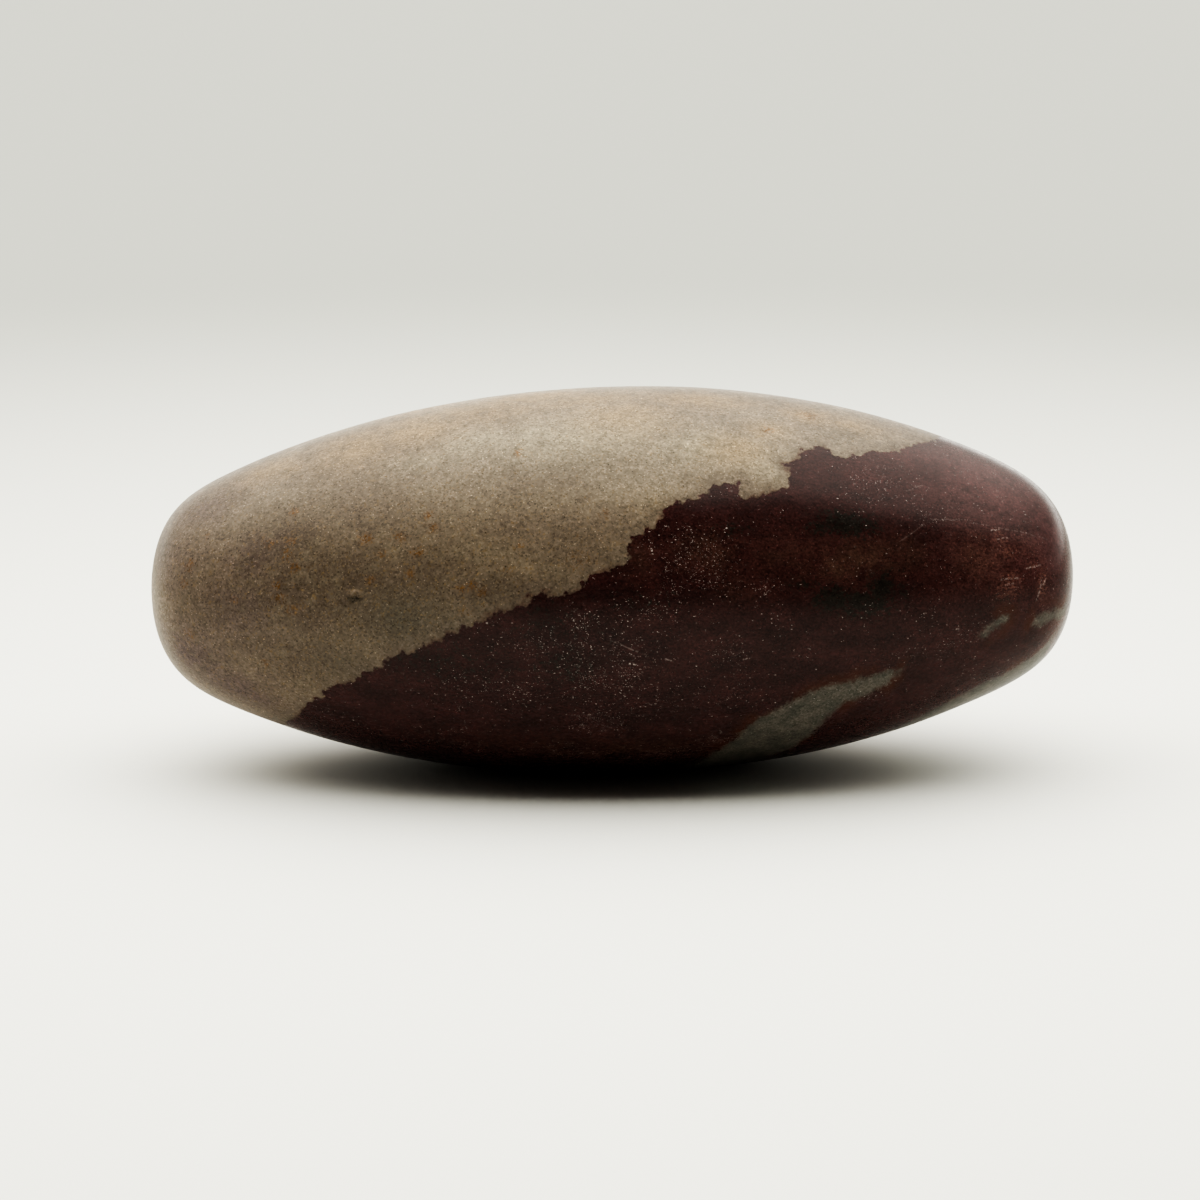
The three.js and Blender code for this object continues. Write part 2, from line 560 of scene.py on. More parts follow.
# Soft blotches, each a pixel place, its half width along the stone and its half height in
# millimetres, and its strength.
blotches = {
    "rust": [
        (207, 536, 0.5, 0.5, 0.6), (269, 544, 1, 0.8, 0.6), (292, 542, 0.8, 0.8, 0.6),
        (287, 555, 0.9, 0.9, 0.7), (295, 568, 0.7, 0.7, 0.8), (184, 584, 0.9, 0.7, 0.6),
        (189, 565, 0.9, 0.9, 0.7), (234, 600, 0.6, 0.5, 0.7), (277, 586, 0.6, 0.5, 1),
        (280, 598, 0.9, 0.7, 0.8), (366, 539, 0.9, 0.7, 0.9), (399, 537, 1.2, 0.9, 0.6),
        (418, 552, 0.8, 0.6, 0.9), (429, 515, 0.6, 0.5, 0.9), (432, 528, 0.8, 0.8, 0.7),
        (383, 554, 0.8, 0.6, 0.7), (410, 574, 0.6, 0.6, 0.8), (371, 580, 0.9, 0.7, 0.6),
        (291, 610, 1.6, 1, 0.5), (190, 634, 1.2, 0.9, 0.5), (265, 663, 1, 0.8, 0.5),
        (294, 512, 0.6, 0.6, 0.9), (517, 453, 0.8, 0.7, 0.8), (520, 545, 0.8, 0.7, 0.6),
        (471, 586, 0.7, 0.6, 0.9), (461, 589, 0.7, 0.5, 0.8), (482, 592, 0.9, 0.8, 0.6),
        (507, 571, 1.4, 1, 0.4), (605, 514, 0.9, 0.7, 0.6), (580, 562, 2.6, 1.8, 0.4),
        (465, 612, 1.2, 0.8, 0.5), (768, 430, 0.9, 0.8, 0.8), (808, 415, 1.6, 1.2, 0.7),
    ],
    # Brown patches: partly the tan's own darker tone, partly painted shade on the band below the lit
    # top.
    "brownAndPaintedShade": [
        (320, 585, 17, 8, 0.85), (300, 580, 9, 4.5, 0.9), (257, 558, 3, 2.5, 0.9),
        (440, 565, 11, 6, 0.7), (500, 590, 8, 3, 0.8), (406, 518, 3, 2, 0.6),
        (575, 545, 8, 4, 0.4), (300, 660, 11, 5, 0.7), (207, 590, 3, 3, 0.35),
        (400, 527, 16, 4.5, 0.65), (510, 505, 8, 3.2, 0.5), (290, 540, 10, 4.5, 0.85),
        (470, 526, 9, 3.5, 0.6),
    ],
    # Mauve patches: partly the tan's own greyish tone, partly painted shade, as on the lit left
    # shoulder.
    "mauveAndPaintedShade": [
        (170, 560, 6, 6, 0.5), (190, 655, 8, 5, 1), (240, 690, 8, 4, 1),
        (205, 505, 6, 4, 0.7), (235, 615, 6, 5, 0.65), (245, 560, 4, 3, 0.6),
    ],
    # Warm patches along the top: partly the tan's own tone, partly painted light warming the lit top.
    "peachAndPaintedLight": [
        (420, 428, 6, 4, 0.8), (360, 445, 6, 4, 0.7), (620, 415, 6, 4, 0.7),
        (735, 448, 3.5, 2.5, 0.7), (768, 430, 3, 2, 0.6), (808, 415, 3, 2, 0.8),
        (290, 470, 2, 1.5, 0.5), (410, 400, 5, 3, 0.7), (530, 397, 6, 3, 0.8),
        (700, 400, 6, 2.5, 0.7), (850, 425, 4, 2, 0.6), (270, 470, 5, 2.5, 0.5),
        (480, 412, 9, 4, 0.6), (580, 400, 9, 3, 0.6),
    ],
    # Painted highlight: pale warm patches where the sheen lies along the top.
    "paintedHighlight": [
        (560, 437, 11, 3.5, 0.8), (480, 440, 5, 3, 0.8), (640, 425, 6, 2.5, 0.5),
        (700, 445, 6, 3, 0.8), (765, 463, 3.5, 2.2, 0.5), (555, 498, 7, 1.6, 0.18),
        (425, 460, 5, 1.6, 0.5),
    ],
    "greenish": [
        (404, 620, 4, 3, 0.9), (455, 625, 4, 2, 0.6), (590, 465, 9, 3, 0.3),
        (345, 665, 4, 2, 0.5), (845, 435, 3, 1.5, 0.5),
    ],
    "soot": [
        (735, 528, 3.2, 1.3, 0.45), (848, 523, 4.5, 1.9, 0.8), (866, 603, 5.2, 1.8, 0.8),
        (832, 599, 3, 1.7, 0.8), (882, 587, 1.9, 1.8, 0.8), (567, 667, 5, 3.5, 0.42),
        (400, 740, 3, 1.2, 0.38), (440, 660, 12, 4, 0.38), (650, 600, 8, 2, 0.3),
        (545, 625, 8, 3, 0.36), (1005, 600, 5, 2, 0.33), (820, 528, 2.2, 1.2, 0.6),
        (803, 585, 2, 1, 0.55), (893, 571, 1.6, 1.2, 0.45), (902, 590, 2.2, 0.8, 0.5),
    ],
    # Umber patches in the red; the long one low in the middle is painted light, lifting the shaded
    # belly.
    "umberAndPaintedLight": [
        (707, 552, 4, 2.4, 0.5), (862, 560, 5, 2.2, 0.8), (908, 552, 3, 2.2, 0.4),
        (640, 560, 2, 2.5, 0.4), (978, 555, 3.5, 3, 0.4), (790, 556, 5, 2.5, 0.35),
        (600, 752, 16, 3, 0.55), (740, 590, 3, 1.5, 0.3), (835, 568, 2, 1.2, 0.9),
    ],
    # Rosy patches: partly the red's own tone, partly painted sheen on the upper part of the red end.
    "rosyAndPaintedSheen": [
        (1000, 500, 9, 6, 0.9), (900, 462, 9, 4.5, 0.25), (1045, 545, 4, 6, 0.8),
        (975, 555, 7, 3, 0.5), (1003, 560, 6, 3, 0.9),
    ],
    "dull": [
        (662, 522, 3, 2.6, 0.9), (705, 525, 4, 2, 0.7), (745, 512, 4, 2, 0.6),
        (785, 508, 5, 2, 0.7), (820, 506, 4, 1.4, 0.5),
        (1060, 585, 4, 9, 0.7), (1050, 520, 4, 5, 0.4),
    ],
    "salmon": [
        (1003, 541, 1.1, 0.6, 0.7), (1009, 552, 1.2, 0.8, 0.9), (1010, 578, 1.5, 0.7, 1),
        (1009, 588, 1.7, 1.4, 0.8), (1042, 583, 0.6, 1.9, 1), (1033, 565, 1.3, 0.5, 0.9),
        (1000, 533, 1.1, 0.4, 0.9), (985, 560, 3, 2, 0.35), (1025, 545, 2.5, 2, 0.35),
    ],
    "specks": [
        (695, 565, 3.4, 2.6, 0.8), (768, 588, 1.8, 0.9, 0.9), (671, 589, 1.6, 0.9, 0.8),
        (590, 671, 2, 2.2, 0.9), (626, 674, 2, 1.6, 1), (598, 720, 3, 1.8, 0.8),
        (581, 625, 1.6, 2, 0.7), (730, 651, 1.8, 1.5, 0.7), (730, 696, 2, 1, 0.6),
        (717, 739, 1.6, 1.2, 0.7), (660, 752, 3.5, 1.4, 0.6), (564, 752, 5, 1.6, 0.6),
        (515, 690, 3, 1, 0.7), (541, 647, 4, 2.2, 0.5), (640, 610, 5, 2, 0.4),
        (450, 742, 5, 1.2, 0.5), (615, 685, 3.5, 2, 0.6), (705, 580, 3.5, 1.4, 0.7),
        (930, 518, 1.6, 1, 0.8), (870, 692, 3, 2, 0.3), (880, 486, 5, 2.5, 0.35),
        (600, 660, 6, 4, 0.45), (690, 545, 5, 2, 0.5), (660, 700, 9, 3, 0.3),
        (500, 690, 8, 3.5, 0.3), (930, 650, 5, 1.5, 0.4), (960, 637, 3, 1, 0.4),
    ],
}


# More of the same on the sides that the photograph doesn't show, each at millimetres along the
# stone and degrees round it.
hiddenBlotches = {
    "rust": [
        (-30, 140, 0.9, 0.7, 0.8), (-22, 155, 0.7, 0.6, 0.9), (-12, 175, 1, 0.8, 0.7),
        (-36, 175, 1.1, 0.9, 0.6), (-27, 195, 0.8, 0.7, 1), (-8, 140, 0.7, 0.6, 0.8),
        (-40, 205, 1, 0.9, 0.6), (-17, 135, 0.6, 0.5, 0.9), (-33, 120, 0.8, 0.6, 0.7),
        (5, 135, 0.7, 0.6, 0.8), (-44, 150, 0.8, 0.8, 0.6), (-20, 190, 0.9, 0.7, 0.6),
    ],
    "brownAndPaintedShade": [
        (-22, 185, 12, 6, 0.6), (-36, 212, 6, 4, 0.7), (-5, 150, 8, 4, 0.4),
        (10, 125, 8, 3, 0.35), (-40, 160, 4, 4, 0.5), (-42, 250, 6, 6, 0.6),
    ],
    "mauveAndPaintedShade": [(-44, 190, 4, 8, 0.8), (-38, 232, 5, 4, 0.8)],
    "peachAndPaintedLight": [
        (0, 110, 8, 4, 0.7), (-20, 120, 7, 4, 0.6), (20, 112, 5, 3, 0.6),
        (-30, 150, 6, 3, 0.5),
    ],
    # Painted highlight along the top, carried round behind.
    "paintedHighlight": [(-10, 130, 10, 4, 0.6), (-28, 100, 6, 3, 0.4)],
    "greenish": [(-26, 205, 4, 2.5, 0.7), (-12, 165, 5, 2, 0.4)],
    "soot": [
        (20, 172, 4, 1.6, 0.7), (6, 202, 6, 2, 0.6), (31, 206, 4, 1.5, 0.6),
        (-12, 236, 6, 2.5, 0.5), (15, 285, 8, 2, 0.4), (-2, 262, 9, 3, 0.45),
    ],
    "umberAndPaintedLight": [
        (31, 160, 5, 2.5, 0.6), (14, 186, 6, 2.5, 0.7), (40, 190, 3, 3, 0.6),
        (0, 216, 7, 3, 0.5), (24, 226, 6, 3, 0.5), (20, 250, 8, 3, 0.4),
    ],
    "rosyAndPaintedSheen": [
        (42, 150, 5, 6, 0.8), (44, 200, 4, 6, 0.8), (-15, 226, 6, 3, 0.4),
        (46, 245, 3, 5, 0.6),
    ],
    "dull": [(12, 165, 5, 3, 0.6), (-8, 205, 5, 2.5, 0.6)],
    "salmon": [(43, 175, 1.4, 1.6, 0.8), (38, 165, 1.2, 0.5, 0.7), (45, 215, 0.8, 1.6, 0.8)],
    "specks": [
        (18, 160, 4, 2.5, 0.7), (-1, 196, 5, 3, 0.8), (10, 216, 3, 2, 0.8),
        (-20, 240, 4, 2.5, 0.6), (33, 195, 3, 2, 0.5), (6, 240, 6, 3, 0.6),
    ],
}


def blotchField(name):
    spots = [(onStone(*spot[:2]), *spot[2:]) for spot in blotches[name]]
    for spot in hiddenBlotches.get(name, ()):
        spots.append((place.toFrame(*toPlaces([spot[:2]]))[0], *spot[2:]))
    field = np.zeros(len(smoothPoints))
    for middle, halfWidth, halfHeight, strength in spots:
        away = (smoothPoints - middle) / mm
        across = np.hypot(away[:, 1], away[:, 2])
        reach = (away[:, 0] / halfWidth) ** 2 + (across / halfHeight) ** 2
        field = np.maximum(field, strength * np.exp(-reach))
    return field


# Relief that a hand can feel: slow waves from rubbing and a few small dents.
relief = {
    "waves": [(14.0, 0.055), (6.0, 0.018), (2.5, 0.006)],  # length and height, millimetres
    "dents": 46,
    "dentRadius": (0.35, 1.1),
    "dentDepth": 0.07,  # share of the dent's radius
    "dentCore": 0.1,  # its deepest part, as a share of its radius
    "flatWithin": 0.02,  # what lies this near the ground stays flat on it
    "seed": 11,
}


def reliefHeight(settings):
    height = np.zeros(len(smoothPoints))
    for length, rise in settings["waves"]:
        size = length * mm
        shift = Vector((length, -length, 3 * length))
        height += rise * np.array([noise.noise(Vector(p) / size + shift) for p in smoothPoints])
    random = np.random.default_rng(settings["seed"])
    centres = random.integers(0, len(smoothPoints), settings["dents"])
    smallest, largest = settings["dentRadius"]
    for centre in centres:
        radius = smallest + (largest - smallest) * random.random() ** 2
        away = np.linalg.norm(smoothPoints - smoothPoints[centre], axis=1) / mm
        dent = 1 - smoothStep(away, settings["dentCore"] * radius, radius)
        height -= settings["dentDepth"] * radius * dent
    return height * mm


def makeStoneMesh(settings):
    mesh = bpy.data.meshes.new("pebbleSurface")
    mesh.from_pydata(smoothPoints.tolist(), [], quads)
    shape = bmesh.new()
    shape.from_mesh(mesh)
    bmesh.ops.recalc_face_normals(shape, faces=shape.faces)
    shape.to_mesh(mesh)
    shape.free()
    mesh.update()
    normals = np.empty(len(smoothPoints) * 3)
    mesh.vertex_normals.foreach_get("vector", normals)
    points = smoothPoints + normals.reshape(-1, 3) * reliefHeight(settings)[:, None]
    points[:, 2] = np.maximum(points[:, 2], 0)
    points[smoothPoints[:, 2] < settings["flatWithin"] * mm, 2] = 0
    mesh.vertices.foreach_set("co", points.ravel())
    mesh.update()
    mesh.shade_smooth()

    fields = {name: blotchField(name) for name in blotches}
    fields["redDepth"] = redDepth()
    fields["lensDepth"] = lensDepth()
    for name, values in fields.items():
        attribute = mesh.attributes.new(name, "FLOAT", "POINT")
        attribute.data.foreach_set("value", values.astype(np.float32))
    return mesh


pebble = bpy.data.objects.new("pebble_surface", makeStoneMesh(relief))
bpy.context.collection.objects.link(pebble)
print("stone mesh made:", len(pebble.data.polygons), "faces")


# Grains of sand packed side by side: a shade around 1 for each grain, and a number for its tint.
grainShape = {
    "spread": (0.5, 4.0),  # most grains lie near the middle shade, and a few far from it
    "core": (0.1, 0.45),  # a pale grain or a pit fades out between these shares of its cell
    "paleGain": 1.3,
    "pitsFrom": 0.93,  # so seven grains in a hundred are pits
    "pitGain": -0.5,
}


def makeGrainGroup(shape):
    group, given, result = newGroup(
        "sandGrains", ["Place"], {"Size": 0.25, "Contrast": 0.3, "Sparkle": 0.04}, ["Shade", "Tint"])
    perMillimetre = mathNode(group, "DIVIDE", 1.0, given["Size"])
    cells = addNode(group, "ShaderNodeTexVoronoi", {"Vector": given["Place"], "Scale": perMillimetre})
    parts = addNode(group, "ShaderNodeSeparateColor", {"Color": cells.outputs["Color"]}).outputs
    even = mathNode(group, "SUBTRACT", parts["Red"], 0.5)
    cubed = times(group, times(group, even, even), even)
    near, far = shape["spread"]
    spread = mathNode(group, "MULTIPLY_ADD", cubed, far, times(group, even, near))
    shade = mathNode(group, "MULTIPLY_ADD", spread, given["Contrast"], 1.0)
    core = fadeNode(group, cells.outputs["Distance"], *shape["core"])
    isPale = mathNode(group, "LESS_THAN", parts["Green"], given["Sparkle"])
    pale = times(group, isPale, core)
    shade = mathNode(group, "MULTIPLY_ADD", pale, shape["paleGain"], shade)
    isPit = mathNode(group, "GREATER_THAN", parts["Green"], shape["pitsFrom"])
    pit = times(group, isPit, core)
    shade = mathNode(group, "MULTIPLY_ADD", pit, shape["pitGain"], shade)
    group.links.new(shade, result["Shade"])
    group.links.new(parts["Blue"], result["Tint"])
    return group


# Scattered round specks of mixed size, each in its own cell.
speckShape = {
    "sizes": (0.35, 1.0),  # shares of the given radius
    "core": 0.5,  # each fades out from this share of its own radius
    "brightness": (0.2, 1.0),
}


def makeSpeckGroup(shape):
    group, given, result = newGroup(
        "scatteredSpecks", ["Place"], {"Spacing": 0.5, "Radius": 0.25, "Amount": 0.1}, ["Mask"])
    perMillimetre = mathNode(group, "DIVIDE", 1.0, given["Spacing"])
    cells = addNode(group, "ShaderNodeTexVoronoi", {"Vector": given["Place"], "Scale": perMillimetre})
    parts = addNode(group, "ShaderNodeSeparateColor", {"Color": cells.outputs["Color"]}).outputs
    radius = times(group, given["Radius"], perMillimetre)
    size = times(group, radius, rangeNode(group, parts["Blue"], 0, 1, *shape["sizes"]))
    inner = times(group, size, shape["core"])
    dot = fadeNode(group, cells.outputs["Distance"], inner, size)
    chosen = mathNode(group, "LESS_THAN", parts["Red"], given["Amount"])
    brightness = rangeNode(group, parts["Green"], 0, 1, *shape["brightness"])
    bright = times(group, chosen, brightness)
    group.links.new(times(group, dot, bright), result["Mask"])
    return group


# One fine scratch: a thin band through Middle, square to Across, fading out at its ends.
scratchShape = {"core": 0.3, "taperFrom": 0.6}  # shares of the width and of the half length


def makeScratchGroup(shape):
    group, given, result = newGroup(
        "fineScratch", ["Place", "Middle", "Across"],
        {"Half Length": 2.0, "Width": 0.1, "Strength": 1.0}, ["Mask"])
    away = vectorMath(group, "SUBTRACT", given["Place"], given["Middle"])
    offLine = mathNode(group, "ABSOLUTE", vectorMath(group, "DOT_PRODUCT", away, given["Across"]))
    inner = times(group, given["Width"], shape["core"])
    line = fadeNode(group, offLine, inner, given["Width"])
    reach = mathNode(group, "DIVIDE", vectorMath(group, "LENGTH", away), given["Half Length"])
    taper = fadeNode(group, reach, shape["taperFrom"], 1.0)
    mask = times(group, line, taper)
    group.links.new(times(group, mask, given["Strength"]), result["Mask"])
    return group


# One small flake mark: a lump, with a pale upper lip that is partly a paler break and partly a
# painted highlight, and a painted shadow under it.
flakeShape = {
    "wobble": (2.0, 2.0),  # scale in a millimetre, and detail
    "nearWithin": 3.0,  # half lengths from the middle, past which there is no mark
    "lump": (0.1, 1.2),
    # Where the painted highlight on the lip and the painted shadow under it lie.
    "lipAndHighlight": (-0.1, 0.6),  # half heights above the middle
    "shadowBand": (-0.1, -0.6),
}


def makeFlakeGroup(shape):
    group, given, result = newGroup(
        "smallFlake", ["Place", "Middle", "Along", "Up"],
        {"Half Length": 0.9, "Half Height": 0.5}, ["Height", "Pale Lip And Highlight", "Painted Shadow"])
    away = vectorMath(group, "SUBTRACT", given["Place"], given["Middle"])
    wobble = mathNode(group, "SUBTRACT", noiseNode(group, given["Place"], *shape["wobble"]), 0.5)
    awayAlong = vectorMath(group, "DOT_PRODUCT", away, given["Along"])
    reachAlong = mathNode(group, "DIVIDE", awayAlong, given["Half Length"])
    awayUp = vectorMath(group, "DOT_PRODUCT", away, given["Up"])
    reachUp = mathNode(group, "DIVIDE", awayUp, given["Half Height"])
    reachUp = mathNode(group, "ADD", reachUp, wobble)
    upSquared = times(group, reachUp, reachUp)
    square = mathNode(group, "MULTIPLY_ADD", reachAlong, reachAlong, upSquared)
    nearest = times(group, given["Half Length"], shape["nearWithin"])
    near = mathNode(group, "LESS_THAN", vectorMath(group, "LENGTH", away), nearest)
    lump = times(group, fadeNode(group, square, *shape["lump"]), near)
    lipAndHighlight = rangeNode(group, reachUp, *shape["lipAndHighlight"])
    shadowBand = rangeNode(group, reachUp, *shape["shadowBand"])
    group.links.new(lump, result["Height"])
    group.links.new(times(group, lump, lipAndHighlight), result["Pale Lip And Highlight"])
    group.links.new(times(group, lump, shadowBand), result["Painted Shadow"])
    return group


sandGrains = makeGrainGroup(grainShape)
smallFlake = makeFlakeGroup(flakeShape)
scatteredSpecks = makeSpeckGroup(speckShape)
fineScratch = makeScratchGroup(scratchShape)
print("shader groups made")


# Noises and fields that more than one part of the stone's material reads.
noiseSettings = {
    "beddingTilt": 12.0,  # degrees by which the layers rise towards the red end
    "beddingScale": (0.5, 0.65, 1.0),  # the layers are long along the bedding and thin across it
    # Each noise's scale in a millimetre, detail and roughness.
    "alongBedding": {
        "layers": (0.45, 4.0, 0.6),
        "fineLayers": (2.2, 3.0, 0.6),
        "scuffs": (5.0, 2.0, 0.7),
    },
    "everyWay": {
        "broad": (0.07, 3.0, 0.55),
        "dust": (0.2, 2.0, 0.6),
        "patches": (0.3, 1.0, 0.5),
        "mottle": (0.6, 4.0, 0.65),
        "teeth": (1.0, 1.5, 0.5),
        "clumps": (1.5, 3.0, 0.7),
        "crumbs": (3.8, 1.0, 0.6),
        "flecks": (4.0, 2.0, 0.6),
    },
    "rimPatches": (0.42, 0.6),
    "grains": {"Size": 0.19, "Contrast": 0.43, "Sparkle": 0.06},  # the last is the pale share
}


def stoneFields(tree, settings):
    texture = addNode(tree, "ShaderNodeTexCoord").outputs["Object"]
    where = vectorMath(tree, "SCALE", texture, scale=1 / mm)  # millimetres from here on
    layered = addNode(tree, "ShaderNodeMapping", {
        "Vector": where,
        "Rotation": (0, math.radians(settings["beddingTilt"]), 0),
        "Scale": settings["beddingScale"],
    }).outputs["Vector"]
    fields = {"where": where}
    for name, noiseShape in settings["alongBedding"].items():
        fields[name] = noiseNode(tree, layered, *noiseShape)
    for name, noiseShape in settings["everyWay"].items():
        fields[name] = noiseNode(tree, where, *noiseShape)
    for name in ("teeth", "crumbs"):
        fields[name] = mathNode(tree, "SUBTRACT", fields[name], 0.5)  # both ways from nought
    fields["rimPatches"] = rangeNode(tree, fields["patches"], *settings["rimPatches"])
    fields["grains"] = useGroup(tree, sandGrains, {"Place": where, **settings["grains"]})
    return fields


# The colour edge and the lenses' outlines, frayed into small teeth. Depths are in millimetres.
fraySettings = {
    "red": {"field": "redDepth", "teeth": 2.0, "crumbs": 0.5, "softness": (-0.13, 0.16)},
    "lens": {"field": "lensDepth", "teeth": 1.2, "crumbs": 0.9, "softness": (-0.3, 0.7)},
}


def frayedDepth(tree, fields, settings):
    depth = attributeNode(tree, settings["field"])
    for name in ("teeth", "crumbs"):
        depth = mathNode(tree, "MULTIPLY_ADD", fields[name], settings[name], depth)
    return depth, rangeNode(tree, depth, *settings["softness"])


# Colours, and ranges of two or four numbers: what a noise, a tint or a depth runs from and to, and
# what that gives at either end, which is 0 and 1 where it isn't said.
tanStone = {
    "pale": (0.243, 0.197, 0.143, 1),
    "deep": (0.182, 0.144, 0.108, 1),
    # Brown patches, partly painted shade on the band below the lit top.
    "brownAndPaintedShade": (0.079, 0.057, 0.0445, 1),
    # Mauve patches, partly painted shade on the lit left shoulder.
    "mauveAndPaintedShade": (0.114, 0.082, 0.075, 1),
    # Warm patches along the top, partly painted light on the lit top.
    "peachAndPaintedLight": (0.290, 0.202, 0.108, 1),
    "greenish": (0.104, 0.088, 0.068, 1),
    # Pale patches that paint a highlight along the top.
    "paintedHighlight": (0.320, 0.272, 0.186, 1),
    "rust": (0.165, 0.077, 0.026, 1),
    "ochreGrain": (0.165, 0.108, 0.050, 1),
    "halo": (0.125, 0.097, 0.077, 1),  # the tan darkens towards the red
    "rim": (0.080, 0.042, 0.030, 1),  # and has a thin rusty line beside it in places
    "broadDeep": (0.38, 0.62),
    "blotchNoise": (0.25, 0.6, 0.45, 1.0),
    "ochreTint": (0.75, 1.0, 0.0, 0.45),
    "ochreClumps": (0.4, 0.6, 0.3, 1.3),
    "rustClumps": (0.60, 0.70, 0.0, 0.35),
    "rustTint": (0.1, 0.9, 0.3, 1.0),
    "rustShows": (0.12, 0.82, 0.0, 0.8),
    "haloReach": (-2.2, -0.3, 0.0, 0.45),  # millimetres off the edge, as is the next
    "rimReach": (-0.55, -0.05, 0.0, 0.6),
    "mottleShade": (0.25, 0.75, 0.88, 1.12),
    "clumpShade": (0.3, 0.7, 0.87, 1.13),
    "roughness": 0.43,
    "specular": 0.17,
}

# Flake marks in the tan: a pixel, or millimetres along the stone and degrees round it, and the
# half length and half height in millimetres. The first is the one that the photograph shows.
flakeMarks = [
    {"pixel": (355, 594.5), "size": (1.2, 0.8)},
    {"place": (-18.0, 158), "size": (1.3, 0.6)},
    {"place": (-33.0, 214), "size": (0.8, 0.5)},
]
# How much paler the lip is, partly a painted highlight, how much painted shadow lies under it, and
# how far it stands up.
flakeFinish = {"pale": 0.8, "dark": -0.75, "rise": 0.06}


def addFlake(tree, where, flake):
    if "pixel" in flake:
        middle = onStone(*flake["pixel"])
    else:
        middle = place.toFrame(*toPlaces([flake["place"]]))[0]
    outward = np.array(stoneTree.find_nearest(Vector(middle))[1])
    up = np.cross(outward, (1.0, 0.0, 0.0))
    up *= np.sign(up[2]) / np.linalg.norm(up)
    along = np.cross(up, outward)
    halfLength, halfHeight = flake["size"]
    return useGroup(tree, smallFlake, {
        "Place": where, "Middle": tuple(middle / mm), "Along": tuple(along), "Up": tuple(up),
        "Half Length": halfLength, "Half Height": halfHeight})


# The tan half's colour, and how far its flake marks stand up.
def tanColour(tree, fields, edgeDepth):
    grains = fields["grains"]
    broadDeep = rangeNode(tree, fields["broad"], *tanStone["broadDeep"])
    tan = mixColour(tree, broadDeep, tanStone["pale"], tanStone["deep"])
    unevenness = rangeNode(tree, fields["mottle"], *tanStone["blotchNoise"])
    # Some of these blotches paint light and shade: the brown and mauve ones partly paint shade, the
    # peach ones partly paint warmth on the lit top, and the chalk ones paint a highlight.
    for name in ("brownAndPaintedShade", "mauveAndPaintedShade", "paintedHighlight", "peachAndPaintedLight", "greenish"):
        amount = times(tree, attributeNode(tree, name), unevenness)
        tan = mixColour(tree, amount, tan, tanStone[name])

    ochre = rangeNode(tree, grains["Tint"], *tanStone["ochreTint"], smooth=False)
    ochreClumps = rangeNode(tree, fields["clumps"], *tanStone["ochreClumps"])
    ochre = times(tree, ochre, ochreClumps)
    tan = mixColour(tree, ochre, tan, tanStone["ochreGrain"])
    rustClumps = rangeNode(tree, fields["clumps"], *tanStone["rustClumps"])
    rust = mathNode(tree, "ADD", rustClumps, attributeNode(tree, "rust"))
    rustTint = rangeNode(tree, grains["Tint"], *tanStone["rustTint"])
    rust = times(tree, rust, rustTint)
    tan = mixColour(tree, rangeNode(tree, rust, *tanStone["rustShows"]), tan, tanStone["rust"])

    tan = mixColour(tree, rangeNode(tree, edgeDepth, *tanStone["haloReach"]), tan, tanStone["halo"])
    rim = rangeNode(tree, edgeDepth, *tanStone["rimReach"])
    rim = times(tree, rim, fields["rimPatches"])
    tan = mixColour(tree, rim, tan, tanStone["rim"])

    mottleShade = rangeNode(tree, fields["mottle"], *tanStone["mottleShade"])
    clumpShade = rangeNode(tree, fields["clumps"], *tanStone["clumpShade"])
    shade = times(tree, grains["Shade"], mottleShade)
    shade = times(tree, shade, clumpShade)
    flakeRise = 0.0
    # Each flake paints a highlight on its lip and a shadow under it into the shade.
    for flake in flakeMarks:
        marked = addFlake(tree, fields["where"], flake)
        shade = mathNode(tree, "MULTIPLY_ADD", marked["Pale Lip And Highlight"], flakeFinish["pale"], shade)
        shade = mathNode(tree, "MULTIPLY_ADD", marked["Painted Shadow"], flakeFinish["dark"], shade)
        flakeRise = mathNode(tree, "ADD", flakeRise, marked["Height"])
    return mixColour(tree, 1.0, tan, shade, "MULTIPLY"), flakeRise


redStone = {
    "deep": (0.0235, 0.0108, 0.0104, 1),
    "mid": (0.058, 0.0215, 0.0208, 1),
    "purple": (0.038, 0.0165, 0.0190, 1),
    # Umber patches, with painted light on the shaded belly.
    "umberAndPaintedLight": (0.088, 0.0475, 0.0360, 1),
    "soot": (0.0200, 0.0180, 0.0150, 1),
    # Rosy patches, partly painted sheen.
    "rosyAndPaintedSheen": (0.096, 0.0405, 0.0400, 1),
    "salmon": (0.240, 0.118, 0.094, 1),
    "speck": (0.47, 0.41, 0.39, 1),
    "midLayers": (0.30, 0.70, 0.35, 1.0),
    "purpleLayers": (0.45, 0.75, 0.0, 0.22),
    "blotchNoise": (0.32, 0.6, 0.25, 1.0),
    "sootRaggedness": 1.4,
    "sootShows": (1.7, 2.1, 0.0, 0.9),
    "salmonScuffs": (0.4, 0.62, 0.0, 0.5),
    "fleckShade": (0.3, 0.7, 0.78, 1.22),
    "roughness": 0.26,
    "specular": 0.18,
}


